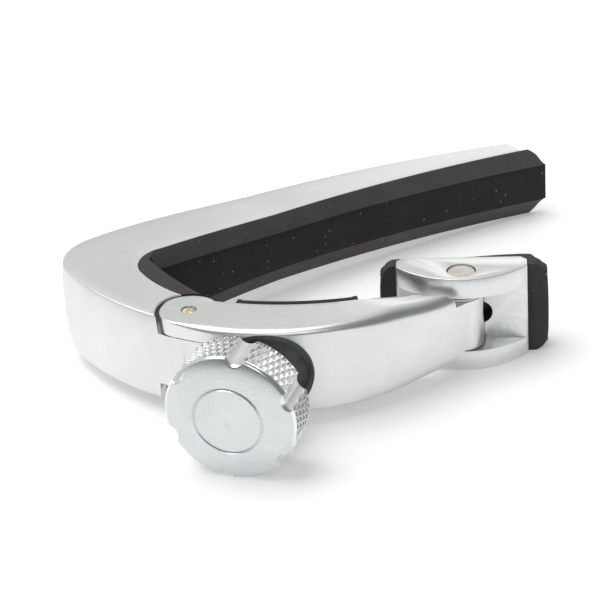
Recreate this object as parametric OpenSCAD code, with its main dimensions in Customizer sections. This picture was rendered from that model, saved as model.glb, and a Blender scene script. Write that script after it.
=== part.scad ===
// Screw-set guitar capo: a J-shaped body with a rubber-faced upper arm, a lever hinged to the
// short leg, a swivelling foot on the lever's end, and a fluted knob whose screw closes the lever.
// Millimetres. Origin: on the body's lower side face, at the centre of its outer bend.
// +X runs along the upper arm to its tip, +Z is across the width, the lever lies toward -Y.

/* [Body] */
// width of the body at its leg, along Z
body_w = 12.9; // [12:0.1:14]
// how much each side face drops in from the leg to the upper arm
arm_step = 1.05; // [0:0.05:2]
// X where the side faces start to taper
taper_x0 = 4; // [0:0.5:8]
// X where the taper ends
taper_x1 = 26; // [20:0.5:40]
// X of the metal tip of the upper arm
arm_len = 68; // [60:0.5:75]
// radius of the outer bend
bend_r = 7.89; // [6:0.01:10]
// radius of the back of the upper arm
back_r = 174; // [150:1:250]
// radius of the upper arm's inner face, a fingerboard's curve
inner_r = 200; // [180:1:320]
// radius of the outside of the leg
leg_out_r = 39.8; // [30:0.1:60]
// radius of the inside of the leg
leg_in_r = 21.3; // [15:0.1:30]
// radius of the throat between arm and leg
throat_r = 5.45; // [4:0.05:7]

/* [Pads] */
// rubber thickness on the upper arm
pad_t = 1.35; // [1:0.05:3]
// height of each bevelled side of the string pad
pad_bevel = 2.5; // [1:0.1:3]
// rubber thickness in the throat
throat_t = 2.6; // [1:0.1:4]
// radius of the rubber in the throat's corner
pad_corner_r = 1.6; // [1:0.1:3]
// how far the rubber reaches past the arm's tip
pad_over = 3.4; // [1:0.1:5]
// depth of the root moulded into the arm's groove
root_d = 1.5; // [1:0.1:2]
// width of that root
root_w = 5.4; // [4:0.1:7]
// rubber on the back of the foot
foot_pad_t = 2.1; // [1.5:0.1:4]
// rubber past each end of the foot
foot_pad_end = 2.8; // [1:0.1:4]
// how far the foot's rubber stays below its plates
foot_pad_low = 1.1; // [0:0.05:1.5]
// rubber strip on the lever
liner_t = 0.9; // [0.3:0.05:1.5]

/* [Lever] */
// thickness of each ear, along Z
ear_t = 2.25; // [1.5:0.05:3]
// gap between an ear and the body's tongue
ear_gap = 0.1; // [0.05:0.05:0.3]
// radius of the ear round the hinge
ear_r = 4.1; // [3:0.1:5]
// thickness of the lever's outer wall
web_t = 2.1; // [1.5:0.1:3]
// radius of the lever's outer face by the knob
lever_out_r = 29.5; // [25:0.1:35]
// radius of its outer face by the foot
lever_end_r = 80; // [60:1:120]
// radius of the lever's hollow inner edge
lever_in_r = 40; // [35:0.1:45]
// radius of the opening round the knob's stem
pocket_r = 5.9; // [5:0.05:6]
// radius of the lever's end round the foot pin
tongue_r = 2.95; // [2.6:0.05:3.5]
// thickness of the lever's end, along Z
tongue_t = 7.3; // [6:0.1:8]

/* [Pins and screw] */
// hinge pin diameter
hinge_d = 2; // [1.5:0.1:3]
// foot pin diameter
foot_pin_d = 3.9; // [3:0.1:5]
// direction of the knob's axis, degrees from +X
knob_dir = 43; // [35:0.5:55]
// distance from the hinge to the knob's axis
knob_reach = 11.2; // [9:0.1:13]
// screw diameter over its thread
screw_d = 5; // [4:0.1:6]
// radial clearance of a turning fit
fit = 0.05; // [0.01:0.01:0.1]

/* [Knob] */
// knob radius over its knurl
knob_r = 9.15; // [8:0.05:10]
// knob length along its axis
knob_l = 7; // [5:0.1:9]
// distance from the hinge line out to the knob's face
knob_out = 16.9; // [13:0.1:18]
// number of finger flutes
flutes = 6; // [4:1:8]
// direction of the first flute at rest, degrees
flute_phase = 38; // [0:1:59]
// radius of each flute
flute_r = 1.5; // [1:0.1:3]
// depth of each flute
flute_d = 0.85; // [0.3:0.05:1.5]
// bevel on the knob's rims
rim = 0.5; // [0.4:0.1:1.5]

/* [Foot] */
// height of the clevis, along Z
foot_h = 14.3; // [13:0.1:15]
// thickness of each of its plates
plate_t = 3; // [2:0.1:3.5]
// half its length
foot_half = 9.1; // [8:0.1:11]
// distance from its pin to its back face
foot_back = 4.15; // [3.5:0.05:5]
// radius of its curved front
foot_front_r = 12; // [9:0.1:15]
// direction of its long axis at rest, degrees from +X
foot_dir = -33; // [-45:1:0]
// bevel on the foot's back corners
foot_bevel = 0.9; // [0:0.1:2]

/* [Hidden] */
$fn = 96;
mid = body_w / 2;
eps = 0.01;
hinge = [1.6, -20.35];
foot = [37.4, -33];
knob_turn_dir = knob_dir - 90;
back_c = [20, -164.9];
inner_c = [36.4, -198.8];
leg_out_c = [31.9, -0.8];
leg_in_c = [22.3, -7.4];
throat_c = [6.45, -6.5];
lever_out_c = [23.6, -7.5];
lever_end_c = [23.6, lever_out_c[1] - lever_out_r + lever_end_r];
lever_in_c = [35.3, 6.8];
pad_leg_r = 65;
pad_leg_c = [68.6, -4];
tongue_w = body_w - 2 * (ear_t + ear_gap);
ear_clear_r = ear_r + 0.4;
insert_d = 6.4;
key_d = 1.6;
key_z = 3.5 - knob_out;
knob_back = knob_l - knob_out;
close_deg = 8;
pocket_tilt = 12;
pocket_out = -4.03;
pocket_depth = 1.3;
pocket_off = 0.4;
seat_h = 1.05;
pocket_slot = 1.1;
stem_r = 3.4;
dome_r = 6.5;
dome_c = -9.74;
plug_x = 2.5;
plug_d = 3.4;
foot_gap = foot_h - 2 * plate_t;
foot_front = 2.75;
wave_z = -5.72;
stem_end = wave_z - 0.03;

// puts a child drawn in the lever's frame at the hinge: +X from hinge to knob axis, +Z up
module at_hinge() {
    translate([hinge[0], hinge[1], mid]) rotate([0, 0, knob_turn_dir]) children();
}

// puts a child drawn along +Z on the knob's axis, with Z = 0 level with the hinge
module on_axis() {
    at_hinge() translate([knob_reach, 0, 0]) rotate([-90, 0, 0]) children();
}

// puts a child in the lever's opening: Z = 0 on its floor, +Z inward
module at_pocket() {
    at_hinge() translate([knob_reach + pocket_off, pocket_out, 0]) rotate([0, 0, pocket_tilt])
        translate([0, pocket_depth, 0]) rotate([-90, 0, 0]) children();
}

// puts a child on the foot pin: +X along the foot, +Y toward the strings, Z from mid width
module at_foot() {
    translate([foot[0], foot[1], mid]) rotate([0, 0, foot_dir]) children();
}

// an upright slot: two round ends joined along +X
module obround(r, h) {
    cylinder(r = r, h = h);
    translate([pocket_slot, 0, 0]) cylinder(r = r, h = h);
    translate([0, -r, 0]) cube([pocket_slot, 2 * r, h]);
}

module disc(c, r) {
    translate(c) circle(r = r, $fn = 180);
}

// a throat: a round corner at c between an arm curve and a leg curve
module throat_2d(c, r, r_arm, leg_c, r_leg) {
    translate(c) circle(r = r);
    intersection() {
        disc(inner_c, r_arm);
        translate([c[0], -60]) square([90, 90]);
    }
    intersection() {
        disc(leg_c, r_leg);
        translate([-10, -60]) square([60, 60 + c[1]]);
    }
}

// everything inside the metal of the J
module metal_throat_2d() {
    throat_2d(throat_c, throat_r, inner_r, leg_in_c, leg_in_r);
}

// everything inside its rubber
module pad_throat_2d() {
    c = [throat_c[0] - throat_r + throat_t + pad_corner_r,
        throat_c[1] + throat_r - pad_t - pad_corner_r];
    throat_2d(c, pad_corner_r, inner_r - pad_t, pad_leg_c, pad_leg_r);
}

module body_2d() {
    difference() {
        union() {
            circle(r = bend_r);
            intersection() {
                disc(back_c, back_r);
                translate([-0.95, -20]) square([arm_len + 0.95, 40]);
            }
            intersection() {
                disc(leg_out_c, leg_out_r);
                translate([-12, hinge[1] - 3]) square([22, 3.3 - hinge[1]]);
            }
        }
        metal_throat_2d();
    }
}

// a wedge of the plan seen from the hinge, between two directions
module sector(a0, a1, r) {
    am = (a0 + a1) / 2;
    translate(hinge)
        polygon([[0, 0], [r * cos(a0), r * sin(a0)], [r * cos(am), r * sin(am)],
            [r * cos(a1), r * sin(a1)]]);
}

// the tongue that carries the hinge pin and the screw insert inside the lever
module tongue_2d() {
    translate(hinge) circle(r = 4.3);
    intersection() {
        disc(lever_out_c, lever_out_r);
        sector(-178, -95, 20);
        disc(leg_out_c, leg_out_r);
    }
    intersection() {
        translate(hinge) rotate(close_deg) translate(-hinge)
            disc(lever_out_c, lever_out_r - web_t - 0.2);
        sector(-96, -30, 30);
        translate(hinge) rotate(knob_turn_dir) translate([-1, -8]) square([16, 10.6]);
    }
}

// room for an ear of the lever in the side of the leg
module ear_room_2d() {
    translate(hinge) circle(r = ear_clear_r);
    translate(hinge) rotate(knob_turn_dir) translate([0, -12]) square([30, 12 + ear_clear_r]);
}

// side view of the J: full width at the leg, tapering to the arm, bevelled past x by b
module taper_solid(x, b) {
    z1 = body_w - arm_step;
    rotate([90, 0, 0])
        linear_extrude(height = 80, center = true)
            polygon([[-20, 0], [taper_x0, 0], [taper_x1, arm_step], [x, arm_step],
                [x + b, arm_step + pad_bevel], [x + b, z1 - pad_bevel], [x, z1],
                [taper_x1, z1], [taper_x0, body_w], [-20, body_w]]);
}

// the string pad's profile swept along the arm's curve
module pad_sweep(x0, x1, prof) {
    a0 = asin((x0 - inner_c[0]) / inner_r);
    a1 = asin((x1 - inner_c[0]) / inner_r);
    translate([inner_c[0], inner_c[1], 0])
        rotate([0, 0, 90 - a1])
            rotate_extrude(angle = a1 - a0, $fn = 720) polygon(prof);
}

module pad_root(g) {
    pad_sweep(12, arm_len - 6, [[inner_r - eps, mid - root_w / 2 - g],
        [inner_r + root_d + g, mid - root_w / 2 - g],
        [inner_r + root_d + g, mid + root_w / 2 + g],
        [inner_r - eps, mid + root_w / 2 + g]]);
}

module body_frame() {
    color("silver")
        difference() {
            union() {
                intersection() {
                    linear_extrude(height = body_w) body_2d();
                    taper_solid(arm_len + 5, 1);
                }
                translate([0, 0, ear_t + ear_gap])
                    linear_extrude(height = tongue_w) tongue_2d();
            }
            for (z = [-1, body_w - ear_t - ear_gap])
                translate([0, 0, z])
                    linear_extrude(height = ear_t + ear_gap + 1) ear_room_2d();
            translate([hinge[0], hinge[1], -1])
                cylinder(d = hinge_d, h = body_w + 2);
            on_axis() translate([0, 0, -6]) cylinder(d = insert_d, h = 12);
            on_axis() rotate([0, 90, 0]) translate([-1, 0, 0]) cylinder(d = 1.6, h = 4);
            pad_root(0);
        }
}

module string_pad() {
    z1 = body_w - arm_step;
    x0 = throat_c[0];
    over_top = 1.2;
    color("dimgray") {
        intersection() {
            pad_sweep(x0, arm_len + pad_over, [[inner_r, 0], [inner_r, body_w],
                [inner_r - pad_t, z1 - pad_bevel], [inner_r - pad_t, arm_step + pad_bevel]]);
            taper_solid(arm_len + over_top, pad_over - over_top);
        }
        pad_root(0);
        intersection() {
            linear_extrude(height = body_w)
                difference() {
                    metal_throat_2d();
                    pad_throat_2d();
                    translate([x0 + 0.05, -60]) square([90, 90]);
                    translate([-20, hinge[1] - 50]) square([40, 52]);
                    translate(hinge) circle(r = ear_clear_r);
                }
            taper_solid(arm_len + 5, 1);
        }
    }
}

// threaded brass insert pressed across the tongue; its thread is drawn as a plain bore
module screw_insert() {
    color("goldenrod")
        intersection() {
            on_axis() difference() {
                translate([0, 0, -0.4]) cylinder(d = insert_d, h = 3);
                translate([0, 0, -5]) cylinder(d = screw_d + 2 * fit, h = 10);
                rotate([0, 90, 0]) translate([-1, 0, 0]) cylinder(d = 1.6, h = 4);
            }
            translate([0, 0, ear_t + ear_gap]) linear_extrude(height = tongue_w) tongue_2d();
        }
}

// small plug of plastic that rubs on the thread and stops the knob from working loose
module drag_plug() {
    color("white")
        on_axis() rotate([0, 90, 0])
            translate([-1, 0, screw_d / 2 + fit + 0.02]) cylinder(d = 1.5, h = 0.5);
}

module hinge_pin() {
    color("gray")
        translate([hinge[0], hinge[1], 0.05]) cylinder(d = hinge_d, h = body_w - 0.1);
}

module lever_2d() {
    translate(hinge) circle(r = ear_r);
    translate(foot) circle(r = tongue_r);
    difference() {
        intersection() {
            union() {
                intersection() {
                    disc(lever_out_c, lever_out_r);
                    translate([-10, -60]) square([10 + lever_out_c[0], 60]);
                }
                intersection() {
                    disc(lever_end_c, lever_end_r);
                    translate([lever_out_c[0], -60]) square([foot[0] - lever_out_c[0], 60]);
                }
            }
            translate(hinge) rotate(knob_turn_dir) translate([0, -30]) square([60, 33 + 20]);
        }
        disc(lever_in_c, lever_in_r);
    }
}

// the open channel inside the lever, where the tongue sits
module channel_2d() {
    intersection() {
        disc(lever_out_c, lever_out_r - web_t);
        translate(hinge) rotate(knob_turn_dir) translate([-10, -20]) square([29, 30]);
    }
    sector(-230, -86, 30);
    translate(hinge) circle(r = 4.7);
}

// where the foot's plates swing, above and below the lever's end
module foot_room_2d() {
    intersection() {
        translate(foot) circle(r = 7.1);
        translate(foot) rotate(-19) translate([-12, -4.92]) square([24, 24]);
    }
    translate(foot) rotate(-35) translate([-12, -0.9]) square([20, 9]);
}

module lever() {
    color("silver")
        difference() {
            linear_extrude(height = body_w) lever_2d();
            translate([0, 0, ear_t]) linear_extrude(height = body_w - 2 * ear_t) channel_2d();
            for (z = [-1, mid + tongue_t / 2])
                translate([0, 0, z])
                    linear_extrude(height = mid - tongue_t / 2 + 1) foot_room_2d();
            translate([hinge[0], hinge[1], -1])
                cylinder(d = hinge_d + 1.2, h = body_w + 2);
            translate([foot[0], foot[1], 0]) cylinder(d = foot_pin_d + 0.8, h = body_w);
            on_axis() translate([0, 0, -12]) cylinder(d = insert_d, h = 14);
            at_pocket() translate([0, 0, -8]) obround(pocket_r, 8);
        }
}

// rubber strip along the lever's hollow edge, where it faces the back of the neck
module lever_liner() {
    color("dimgray")
        translate([0, 0, 0.1])
            linear_extrude(height = body_w - 0.2)
                intersection() {
                    difference() {
                        disc(lever_in_c, lever_in_r);
                        disc(lever_in_c, lever_in_r - liner_t);
                    }
                    translate(hinge) rotate(knob_turn_dir)
                        translate([5.4, 0]) square([16.4, 20]);
                }
}

module hinge_bushes() {
    color("gray")
        for (z = [0.02, body_w - ear_t])
            translate([hinge[0], hinge[1], z])
                difference() {
                    cylinder(d = hinge_d + 1.2, h = ear_t - 0.02);
                    translate([0, 0, -1]) cylinder(d = hinge_d + 2 * fit, h = ear_t + 2);
                }
}

// black ring that lines the lever's opening
module pocket_seat() {
    color("black")
        at_pocket() difference() {
            translate([0, 0, -seat_h]) obround(pocket_r, seat_h);
            translate([0, 0, -6]) obround(pocket_r - 0.7, 8);
        }
}

module knob() {
    color("silver")
        on_axis() difference() {
            rotate_extrude()
                polygon([[0, -knob_out], [knob_r - rim, -knob_out], [knob_r, rim - knob_out],
                    [knob_r, knob_back - rim], [knob_r - rim, knob_back],
                    [4.2, knob_back], [4.2, knob_back + 1], [0, knob_back + 1]]);
            for (i = [0 : flutes - 1])
                rotate([0, 0, flute_phase + i * 360 / flutes])
                    translate([knob_r + flute_r - flute_d, 0, -knob_out - 1])
                        cylinder(r = flute_r, h = knob_l + 2);
            translate([0, 0, 2 - knob_out]) cylinder(d = 6, h = knob_l);
            translate([0, 0, key_z]) rotate([0, 90, 0]) cylinder(d = key_d, h = knob_r - 1.5);
        }
}

module knob_screw() {
    color("gray")
        on_axis() difference() {
            union() {
                translate([0, 0, 2.05 - knob_out]) cylinder(d = 6, h = knob_l - 1.05);
                translate([0, 0, knob_back + 1]) cylinder(r = stem_r, h = stem_end - knob_back - 1);
                translate([0, 0, -6]) cylinder(d = screw_d, h = 8);
            }
            translate([0, 0, key_z]) rotate([0, 90, 0]) cylinder(d = key_d, h = knob_r);
        }
}

// grub pin that keys the screw's shank to the knob
module knob_key() {
    color("gray")
        on_axis() translate([0, 0, key_z]) rotate([0, 90, 0])
            translate([0, 0, 0.6]) cylinder(d = key_d, h = knob_r - 2.2);
}

// domed plastic washer that rocks on the floor of the lever's opening
module thrust_washer() {
    color("black")
        on_axis() difference() {
            intersection() {
                translate([0, 0, dome_c]) sphere(r = dome_r, $fn = 96);
                translate([0, 0, -5.2]) cylinder(r = stem_r, h = 3);
            }
            translate([0, 0, -6]) cylinder(d = screw_d + 0.3, h = 6);
        }
}

module wave_washer() {
    color("lightgray")
        on_axis() translate([0, 0, wave_z]) difference() {
            cylinder(r = stem_r - 0.1, h = 0.5);
            translate([0, 0, -1]) cylinder(d = screw_d + 0.3, h = 3);
        }
}

// the metal block of the foot, bevelled at its back corners
module foot_block_2d() {
    x = foot_half;
    b = foot_bevel;
    polygon([[-x, -3], [x, -3], [x, foot_back - b], [x - b, foot_back], [b - x, foot_back],
        [-x, foot_back - b]]);
}

module foot_plan_2d() {
    intersection() {
        translate([0, foot_front_r - foot_front]) circle(r = foot_front_r, $fn = 144);
        foot_block_2d();
    }
}

module foot_clevis() {
    color("silver")
        at_foot() difference() {
            translate([0, 0, -foot_h / 2]) linear_extrude(height = foot_h) foot_plan_2d();
            translate([-20, -20, -foot_gap / 2]) cube([40, 21.1, foot_gap]);
            cylinder(r = tongue_r + 0.25, h = foot_gap, center = true);
            cylinder(d = foot_pin_d, h = foot_h + 2, center = true);
            for (x = [-plug_x, plug_x])
                translate([x, 0, 0]) rotate([-90, 0, 0]) cylinder(d = plug_d, h = 10);
        }
}

module foot_pin() {
    color("tan")
        at_foot() cylinder(d = foot_pin_d, h = foot_h - 0.2, center = true);
}

module foot_bush() {
    color("gray")
        at_foot() difference() {
            cylinder(d = foot_pin_d + 0.8, h = tongue_t, center = true);
            cylinder(d = foot_pin_d + 2 * fit, h = tongue_t + 2, center = true);
        }
}

module foot_washers() {
    color("lightgray")
        at_foot()
            for (z = [-1, 1])
                translate([0, 0, z * (tongue_t / 2 + 0.18)]) difference() {
                    cylinder(r = 2.85, h = 0.26, center = true);
                    cylinder(d = foot_pin_d + 2 * fit, h = 1, center = true);
                }
}

module foot_pad() {
    h = foot_h - 2 * foot_pad_low;
    plug_y = tongue_r + 0.35;
    color("dimgray")
        at_foot() {
            translate([0, 0, -h / 2]) linear_extrude(height = h)
                difference() {
                    boot_2d();
                    foot_block_2d();
                }
            for (x = [-plug_x, plug_x])
                translate([x, plug_y, 0]) rotate([-90, 0, 0])
                    cylinder(d = plug_d, h = foot_back - plug_y + 0.3);
        }
}

// the foot pad's plan: a block with round outer corners
module boot_2d() {
    r = 2.4;
    front = 2.1;
    x = foot_half + foot_pad_end;
    y = foot_back + foot_pad_t;
    translate([-x, front]) square([2 * x, y - r - front]);
    translate([r - x, front]) square([2 * (x - r), y - front]);
    for (s = [-1, 1])
        translate([s * (x - r), y - r]) circle(r = r);
}

// spring ring in the insert's mouth that keeps grit out of the thread
module drag_ring() {
    color("dimgray")
        on_axis() translate([0, 0, 2.62]) difference() {
            cylinder(d = insert_d, h = 0.3);
            translate([0, 0, -1]) cylinder(d = screw_d + 0.3, h = 2);
        }
}

body_frame();
string_pad();
screw_insert();
drag_plug();
hinge_pin();
lever();
lever_liner();
hinge_bushes();
pocket_seat();
knob();
knob_screw();
knob_key();
thrust_washer();
wave_washer();
foot_clevis();
foot_pin();
foot_washers();
foot_pad();
foot_bush();
drag_ring();
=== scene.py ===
import math
import random

import bmesh
import bpy
from mathutils import Euler, Matrix, Vector, noise


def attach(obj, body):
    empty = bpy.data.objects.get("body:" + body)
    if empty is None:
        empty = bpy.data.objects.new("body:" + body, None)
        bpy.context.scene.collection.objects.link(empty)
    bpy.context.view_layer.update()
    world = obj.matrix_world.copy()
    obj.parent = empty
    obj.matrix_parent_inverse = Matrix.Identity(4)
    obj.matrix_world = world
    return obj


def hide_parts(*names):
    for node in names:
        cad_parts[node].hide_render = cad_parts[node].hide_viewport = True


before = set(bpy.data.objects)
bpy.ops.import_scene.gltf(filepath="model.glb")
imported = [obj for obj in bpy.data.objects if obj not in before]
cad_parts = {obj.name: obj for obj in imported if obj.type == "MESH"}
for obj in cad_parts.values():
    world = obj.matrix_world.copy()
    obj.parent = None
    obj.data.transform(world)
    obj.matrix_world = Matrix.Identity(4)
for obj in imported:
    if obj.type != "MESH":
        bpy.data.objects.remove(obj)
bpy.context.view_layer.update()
scene = bpy.context.scene
MM = 0.001
rng = random.Random(7)

# ---------------------------------------------------------------- dimensions, mm
# x runs out along the arm and z from one side face to the other. A plan arc has a centre _C and a radius _R.
BODY_W = 12.9                                    # body, from side face to side face
MID = BODY_W / 2
ARM_STEP = 1.05                                  # how far the arm's sides step in
TAPER_X0, TAPER_X1 = 4.0, 26.0                   # where they start and stop stepping in
ARM_LEN = 68.0
JOIN_X = 8.5                                     # where the arm runs into the bend
BEND_R = 7.89                                    # outside of the bend, round the origin
BACK_C, BACK_R = (20.0, -164.9), 174.0           # arm's back
INNER_C, INNER_R = (36.4, -198.8), 200.0         # arm's inner face, under the pad
LEG_OUT_C, LEG_OUT_R = (31.9, -0.8), 39.8
LEG_IN_C, LEG_IN_R = (22.3, -7.4), 21.3
THROAT_C, THROAT_R = (6.45, -6.5), 5.45          # inside corner of the J
PAD_T, PAD_BEVEL, THROAT_T, PAD_CORNER_R = 1.35, 2.5, 2.6, 1.6
PAD_LEG_C, PAD_LEG_R = (68.6, -4.0), 65.0        # pad's face along the leg
PAD_TIP = ARM_LEN + 1.2                          # where the pad's end begins to round off
HINGE = (1.6, -20.35)
FOOT = (37.4, -33.0)                             # the foot's pin
KNOB_DIR = 43.0                                  # direction of the knob's axis, degrees
TURN = math.radians(KNOB_DIR - 90)               # turn of the hinge's frame, whose y is that axis
REACH = 11.2                                     # from the hinge to the knob's axis
LEVER_MAX = 8.0                                  # furthest turn of the lever, degrees
EAR_T, SEAM, EAR_R = 2.25, 0.28, 4.1             # lever's ears, and their gap to the tongue
EAR_ROOM_TOP, EAR_ROOM_LOW = 0.6, 0.85           # gap round each ear
TONGUE_END_R = 4.3                               # body's tongue, round the hinge
WEB_T = 2.1                                      # lever's outer wall
OUT_C, OUT_R = (23.6, -7.5), 29.5                # lever's outer face
END_R = 80.0                                     # the same beyond its lowest point
END_C = (OUT_C[0], OUT_C[1] - OUT_R + END_R)
IN_C, IN_R = (35.3, 6.8), 40.0                   # lever's hollow edge
TONGUE_R, TONGUE_T = 2.95, 7.3                   # lever's end, inside the foot
LEVER_LOW = 0.75                                 # how far the lever's sides step in at that end
KNOB_R, KNOB_L, KNOB_OUT = 9.15, 7.0, 16.9       # radius, length, and hinge to face along the axis
FACE_R = 6.0                                     # middle of the knob's face, inside the flutes
FLUTES, FLUTE_PHASE, FLUTE_R, FLUTE_D = 6, 38.0, 1.5, 0.85
KNURLS, KNURL_PITCH, KNURL_D = 58, 1.2, 0.36     # round the knob, along it, and depth
POCKET_R, POCKET_SLOT = 5.9, 1.1                 # lever's opening: end radius, and between the ends' centres
POCKET_OFF, POCKET_Y, POCKET_TILT, POCKET_FLOOR = 0.4, -4.03, 12.0, 1.3
FOOT_H, PLATE_T, FOOT_HALF, FOOT_BACK = 14.3, 3.0, 9.1, 4.15
FOOT_FRONT_R, FOOT_FRONT, FOOT_DIR, FOOT_BEVEL = 12.0, 2.75, math.radians(-33), 0.9
FOOT_WEB = 1.1                                   # front face of the foot's web
FOOT_PAD_T, FOOT_PAD_END, FOOT_PAD_LOW = 2.1, 2.8, 1.1
PLUG_X, PLUG_HOLE_R, PLUG_R = 2.5, 1.7, 1.68     # boot's plugs in the web
PIN_D = 3.9
INSERT_R = 3.22


# ---------------------------------------------------------------- small geometry
def add(a, b, k=1.0):
    return (a[0] + b[0] * k, a[1] + b[1] * k)


def polar(c, r, deg):
    return (c[0] + r * math.cos(math.radians(deg)), c[1] + r * math.sin(math.radians(deg)))


def arc_y(c, r, x, side):
    return c[1] + side * math.sqrt(max(r * r - (x - c[0]) ** 2, 0))


def arc_x(c, r, y, side):
    return c[0] + side * math.sqrt(max(r * r - (y - c[1]) ** 2, 0))


def lerp(a, b, t):
    return a + (b - a) * t


def smooth(t):
    t = min(max(t, 0.0), 1.0)
    return t * t * (3 - 2 * t)


def unit(v):
    n = math.hypot(*v)
    return (v[0] / n, v[1] / n)


def angle_of(c, p):
    return math.degrees(math.atan2(p[1] - c[1], p[0] - c[0]))


def spread(a, b, n):
    return [lerp(a, b, i / (n - 1)) for i in range(n)]


def meet(c1, r1, c2, r2, pick):
    """The crossing of two circles that pick() rates highest."""
    dx, dy = c2[0] - c1[0], c2[1] - c1[1]
    d = math.hypot(dx, dy)
    a = (r1 * r1 - r2 * r2 + d * d) / (2 * d)
    h = math.sqrt(r1 * r1 - a * a)
    m = (c1[0] + a * dx / d, c1[1] + a * dy / d)
    pts = [(m[0] + s * h * dy / d, m[1] - s * h * dx / d) for s in (-1, 1)]
    return max(pts, key=pick)


def smooth_ramp(t):
    """A straight ramp with its two corners eased."""
    t = min(max(t, 0.0), 1.0)
    return 0.75 * t + 0.25 * smooth(t)


def side_z(x):
    """Height of the J's upper side face."""
    return BODY_W - ARM_STEP * smooth_ramp((x - TAPER_X0) / (TAPER_X1 - TAPER_X0))


def circle_pts(c, r, n, a0=0.0):
    return [polar(c, r, a0 + 360 * i / n) for i in range(n)]


def clip_half(poly, p, n):
    """Keep the part of a polygon on the side of p that n points to."""
    res = []
    for k in range(len(poly)):
        a, b = poly[k - 1], poly[k]
        da = (a[0] - p[0]) * n[0] + (a[1] - p[1]) * n[1]
        db = (b[0] - p[0]) * n[0] + (b[1] - p[1]) * n[1]
        if (da >= 0) != (db >= 0):
            t = da / (da - db)
            res.append((lerp(a[0], b[0], t), lerp(a[1], b[1], t)))
        if db >= 0:
            res.append(b)
    return res


# ---------------------------------------------------------------- mesh building
def to_object(name, bm):
    mesh = bpy.data.meshes.new(name)
    bmesh.ops.recalc_face_normals(bm, faces=bm.faces)
    bm.to_mesh(mesh)
    bm.free()
    o = bpy.data.objects.new(name, mesh)
    scene.collection.objects.link(o)
    return o


def loft(name, rings, closed=False):
    """Skin a list of rings of (x, y, z) points in mm; open ends are capped."""
    bm = bmesh.new()
    rows = [[bm.verts.new([c * MM for c in p]) for p in ring] for ring in rings]
    n = len(rows[0])
    pairs = list(zip(rows, rows[1:])) + ([(rows[-1], rows[0])] if closed else [])
    for a, b in pairs:
        for i in range(n):
            j = (i + 1) % n
            bm.faces.new((a[i], a[j], b[j], b[i]))
    if not closed:
        bm.faces.new(rows[0])
        bm.faces.new(rows[-1])
    return to_object(name, bm)


def prism(name, outline, layers, place=None):
    """A solid on a plan outline; each layer is a height and how far the outline grows there."""
    n = len(outline)
    normals = []
    for i in range(n):
        a, b = outline[i - 1], outline[(i + 1) % n]
        t = unit((b[0] - a[0], b[1] - a[1]))
        normals.append((t[1], -t[0]))
    area = sum(outline[i - 1][0] * outline[i][1] - outline[i][0] * outline[i - 1][1] for i in range(n))
    sign = 1 if area > 0 else -1
    o = loft(name, [[(p[0] + sign * m[0] * grow, p[1] + sign * m[1] * grow, z) for p, m in zip(outline, normals)]
                    for z, grow in layers])
    if place is not None:
        o.data.transform(place)
    return o


def straight(z0, z1):
    """The layers of a prism with upright walls."""
    return [(z0, 0), (z1, 0)]


def upside_down(layers):
    """The same layers measured from the body's other side face."""
    return [(BODY_W - z, grow) for z, grow in reversed(layers)]


def apply_mods(o):
    dg = bpy.context.evaluated_depsgraph_get()
    mesh = bpy.data.meshes.new_from_object(o.evaluated_get(dg))
    o.modifiers.clear()
    old = o.data
    o.data = mesh
    bpy.data.meshes.remove(old)


def boolean(o, tool, op="DIFFERENCE"):
    m = o.modifiers.new("cut", "BOOLEAN")
    m.operation = op
    m.solver = "EXACT"
    m.object = tool
    apply_mods(o)
    bpy.data.objects.remove(tool)


def cut(o, outline, layers, place=None):
    """Take a prism out of a piece."""
    boolean(o, prism("cut", outline, layers, place))


def bevel(o, width, deg):
    """Round the edges sharper than an angle."""
    m = o.modifiers.new("edge", "BEVEL")
    m.width = width * MM
    m.segments = 2
    m.limit_method = "ANGLE"
    m.angle_limit = math.radians(deg)
    m.use_clamp_overlap = True
    apply_mods(o)


def weld(o):
    """Join the doubled points that a boolean leaves."""
    bm = bmesh.new()
    bm.from_mesh(o.data)
    bmesh.ops.remove_doubles(bm, verts=bm.verts, dist=0.002 * MM)
    bm.to_mesh(o.data)
    bm.free()


def finish_piece(o, material, body, nodes, sharp):
    """Shade a piece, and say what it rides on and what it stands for."""
    o.data.shade_smooth()
    o.data.set_sharp_from_angle(angle=math.radians(sharp))
    o.data.materials.clear()
    o.data.materials.append(material)
    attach(o, body)
    if nodes:
        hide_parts(*nodes)


def paint(o, material, place, test):
    """One more material, on the faces that test(centre, normal) picks, both in a local frame in mm."""
    o.data.materials.append(material)
    inv = place.inverted()
    rot = inv.to_3x3()
    for p in o.data.polygons:
        if test(inv @ p.center / MM, rot @ p.normal):
            p.material_index = len(o.data.materials) - 1


# ---------------------------------------------------------------- frames of the hinge, knob, opening and foot
FROM_Y = Matrix.Rotation(math.radians(-90), 4, "X")      # stands a prism's z along y
HINGE_M = Matrix.Translation((HINGE[0] * MM, HINGE[1] * MM, MID * MM)) @ Matrix.Rotation(TURN, 4, "Z")
KNOB_M = HINGE_M @ Matrix.Translation((REACH * MM, 0, 0)) @ FROM_Y
POCKET_M = (HINGE_M @ Matrix.Translation(((REACH + POCKET_OFF) * MM, POCKET_Y * MM, 0))
            @ Matrix.Rotation(math.radians(POCKET_TILT), 4, "Z") @ Matrix.Translation((0, POCKET_FLOOR * MM, 0))
            @ FROM_Y)
FOOT_M = Matrix.Translation((FOOT[0] * MM, FOOT[1] * MM, MID * MM)) @ Matrix.Rotation(FOOT_DIR, 4, "Z")


def from_hinge(x, y):
    """A plan point given in the hinge's frame."""
    c, s = math.cos(TURN), math.sin(TURN)
    return (HINGE[0] + c * x - s * y, HINGE[1] + s * x + c * y)


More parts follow.
